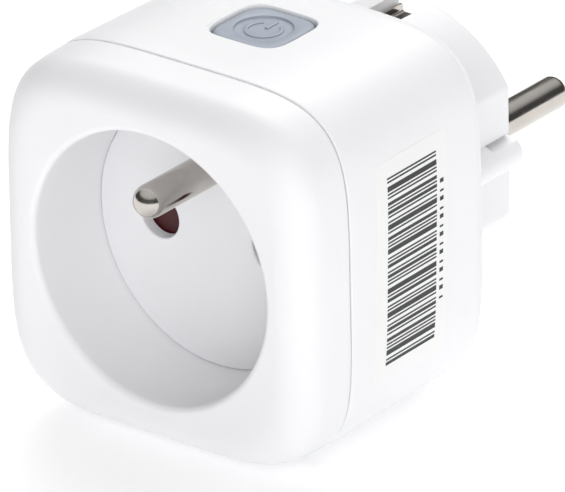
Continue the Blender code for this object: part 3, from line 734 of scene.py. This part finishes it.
def make_earth_clips():
    """Channels of sheet metal in the plug's two slots, each with a stud that reaches into the plug."""
    wall = 0.5
    for side, name in ((1, "earth_clip_top"), (-1, "earth_clip_bottom")):
        low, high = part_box(name)
        x = (low.x / MM, high.x / MM)
        depth = (depth_of(low.y), depth_of(high.y))
        height = sorted((side * (SLOT_FLOOR + 0.3), side * (NECK_R - 1.5)))
        room = sorted((side * (SLOT_FLOOR + 0.9), side * (NECK_R + 2)))
        stud_height = sorted((side * (SLOT_FLOOR - 1.7), side * (SLOT_FLOOR + 0.6)))
        clip = block(f"{name}_channel", x, depth, height, NICKEL, 0.22)
        hollow = block("hollow", (x[0] + wall, x[1] - wall), (depth[0] + wall, depth[1] + 2),
                       room, None, 0.35)
        stud = block("stud", (-1.2, 1.2), (52.4, 54.8), stud_height, None)
        carve(clip, [hollow], [stud])
        stands_for(clip, "nickel_plate", name)


# ---------------------------------------------------------------- button

def make_button():
    """The stem, the flange under the case, the cap and the round dish in its top."""
    stem_end = (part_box("power_button")[0].z - AXIS_Z) / MM
    top = BUTTON_TOP
    edge = 0.5
    flange_top = FLANGE_LEVEL + FLANGE
    flange = squircle(FLANGE_HALF, BUTTON_POWER)
    rings = [(stem_end, [STEM_R] * COLUMNS), (FLANGE_LEVEL, [STEM_R] * COLUMNS),
             (FLANGE_LEVEL, flange), (flange_top, flange),
             (flange_top, squircle(BUTTON_HALF, BUTTON_POWER))]
    for height, half in arc((top - edge, BUTTON_HALF - edge), edge, 90, 0, 6):
        rings.append((height, squircle(half, BUTTON_POWER)))
    floor = top - DISH
    rings += [(top, circle(DISH_R + 0.12)), (top - 0.03, circle(DISH_R + 0.02)),
              (floor + 0.03, circle(DISH_R - 0.08)), (floor, circle(DISH_R - 0.16)),
              (floor, circle(DISH_R - 0.6)), (floor, circle(1.0))]
    button = skin("power_button_cap", rings, SMOKE, at=(0.0, BUTTON_DEPTH, 0.0), axis="Z")
    stands_for(button, "button_plastic", "power_button", body="power_button")
    make_power_mark(floor)


def ribbon(mesh_data, path, section):
    """A raised line in the button's dish.

    The path is a list of (point, direction across it), and the section of (across, height).
    """
    loops = []
    for (x, depth), (across_x, across_depth) in path:
        loop = []
        for across, height in section:
            point = place(x + across_x * across, BUTTON_DEPTH + depth + across_depth * across, height)
            loop.append(mesh_data.verts.new(point))
        loops.append(loop)
    for first, second in zip(loops, loops[1:]):
        for i in range(len(section)):
            j = (i + 1) % len(section)
            mesh_data.faces.new((first[i], first[j], second[j], second[i]))
    mesh_data.faces.new(loops[0])
    mesh_data.faces.new(loops[-1])


def make_power_mark(floor):
    """The plain on-off mark, a broken ring and a stroke, raised in the button's dish."""
    radius = 2.45
    half = 0.28
    base = floor - 0.02
    shoulder = base + 0.154
    top = base + 0.22
    section = [(-half, base), (-half, shoulder), (-half * 0.6, top), (half * 0.6, top),
               (half, shoulder), (half, base)]
    gap = 76
    steps = 40
    ring = []
    for i in range(steps + 1):
        angle = math.radians(90 + gap / 2 + (360 - gap) * i / steps)
        outwards = (math.cos(angle), math.sin(angle))
        ring.append(((radius * outwards[0], radius * outwards[1]), outwards))
    stroke = [((0.0, 0.5 + 0.6 * i), (1.0, 0.0)) for i in range(5)]
    mesh_data = bmesh.new()
    ribbon(mesh_data, ring, section)
    ribbon(mesh_data, stroke, section)
    mark = finish_mesh("power_mark", mesh_data, SMOKE)
    stands_for(mark, "button_plastic", body="power_button")


# ---------------------------------------------------------------- stage

def make_floor():
    """A wide pale floor that glows faintly, so that it runs into the white background."""
    mesh_data = bmesh.new()
    bmesh.ops.create_grid(mesh_data, x_segments=8, y_segments=8, size=3.0)
    surface = Surface("studio_floor")
    surface.colour(surface.noise(3.0), [(0.3, (0.93, 0.93, 0.935)), (0.7, (0.945, 0.945, 0.95))])
    surface.roughness(surface.noise(20.0), 0.75, 0.85)
    surface.shader.inputs["Emission Color"].default_value = (1.0, 1.0, 1.0, 1.0)
    surface.shader.inputs["Emission Strength"].default_value = 0.27
    floor = finish_mesh("studio_floor", mesh_data, surface.material)


class Sky:
    """The studio's light, made of a world's nodes."""

    def __init__(self):
        self.world = bpy.data.worlds.new("studio")
        self.world.use_nodes = True
        self.tree = self.world.node_tree
        self.direction = self.tree.nodes.new("ShaderNodeTexCoord").outputs["Generated"]

    def link(self, source, target):
        self.tree.links.new(source, target)

    def compute(self, operation, first, second):
        """The output of a Math node, for numbers or other nodes' outputs."""
        step = self.tree.nodes.new("ShaderNodeMath")
        step.operation = operation
        for value, target in ((first, step.inputs[0]), (second, step.inputs[1])):
            if isinstance(value, float):
                target.default_value = value
            else:
                self.link(value, target)
        return step.outputs["Value"]

    def lamp(self, azimuth, height, power, strength):
        """A soft lamp: azimuth in degrees from the front to the right, height as its elevation's sine.

        The higher the power, the smaller the lamp.
        """
        along = self.tree.nodes.new("ShaderNodeVectorMath")
        along.operation = "DOT_PRODUCT"
        angle = math.radians(azimuth)
        level = math.sqrt(1 - height * height)
        along.inputs[1].default_value = (math.sin(angle) * level, -math.cos(angle) * level, height)
        self.link(self.direction, along.inputs[0])
        facing = self.compute("MAXIMUM", along.outputs["Value"], 0.0)
        return self.compute("MULTIPLY", self.compute("POWER", facing, power), strength)

    def tent(self, stops):
        """Grey levels by height: each stop is (sine of the elevation, level)."""
        split = self.tree.nodes.new("ShaderNodeSeparateXYZ")
        self.link(self.direction, split.inputs["Vector"])
        ramp = self.tree.nodes.new("ShaderNodeValToRGB")
        points = ramp.color_ramp.elements
        while len(points) < len(stops):
            points.new(0.5)
        for point, (position, level) in zip(points, stops):
            point.position = position
            point.color = (level, level, level, 1.0)
        self.link(split.outputs["Z"], ramp.inputs["Fac"])
        return ramp.outputs["Color"]


def make_lights():
    """Five lamps light the scene, and reflections show a tent with a dark band above the horizon."""
    sky = Sky()
    in_front_low = sky.lamp(azimuth=40.0, height=0.1, power=12.0, strength=3.6)
    in_front_high = sky.lamp(azimuth=10.0, height=0.55, power=12.0, strength=1.6)
    behind_left = sky.lamp(azimuth=-150.0, height=0.65, power=12.0, strength=5.6)
    overhead = sky.lamp(azimuth=0.0, height=1.0, power=8.0, strength=0.7)
    behind_right = sky.lamp(azimuth=110.0, height=0.6, power=6.0, strength=1.0)
    soft = in_front_low
    for lamp in (in_front_high, behind_left, overhead, behind_right):
        soft = sky.compute("ADD", soft, lamp)
    tent = sky.tent([(0.0, 0.8), (0.07, 0.06), (0.45, 0.08), (0.62, 0.6), (1.0, 0.75)])
    rays = sky.tree.nodes.new("ShaderNodeLightPath")
    choose = sky.tree.nodes.new("ShaderNodeMix")
    choose.data_type = "RGBA"
    sky.link(rays.outputs["Is Glossy Ray"], choose.inputs["Factor"])
    sky.link(soft, choose.inputs["A"])
    sky.link(tent, choose.inputs["B"])
    sky.link(choose.outputs["Result"], sky.tree.nodes["Background"].inputs["Color"])
    bpy.context.scene.world = sky.world


def make_camera():
    """A long lens to the front right, a little above the part."""
    azimuth = math.radians(38.402)
    elevation = math.radians(25.081)
    distance = 1.7537
    roll = math.radians(-1.207)
    target = place(-0.754, 30.0, -7.993)
    back = Vector((math.sin(azimuth) * math.cos(elevation), -math.cos(azimuth) * math.cos(elevation),
                   math.sin(elevation)))
    data = bpy.data.cameras.new("camera")
    data.sensor_width = 36.0
    data.lens = 823.9
    data.clip_start = 0.05
    data.clip_end = 50.0
    camera = bpy.data.objects.new("camera", data)
    bpy.context.scene.collection.objects.link(camera)
    camera.location = target + back * distance
    camera.rotation_mode = "QUATERNION"
    camera.rotation_quaternion = (-back).to_track_quat("-Z", "Y") @ Quaternion((0, 0, 1), roll)
    bpy.context.scene.camera = camera


make_cover()
make_housing()
make_bosses()
make_end_plate()
make_label()
make_screws()
make_socket_floor()
make_pins()
make_shutter()
make_earth_clips()
make_button()
make_floor()
make_lights()
make_camera()
bpy.context.scene.view_settings.view_transform = "Standard"

bpy.context.view_layer.update()
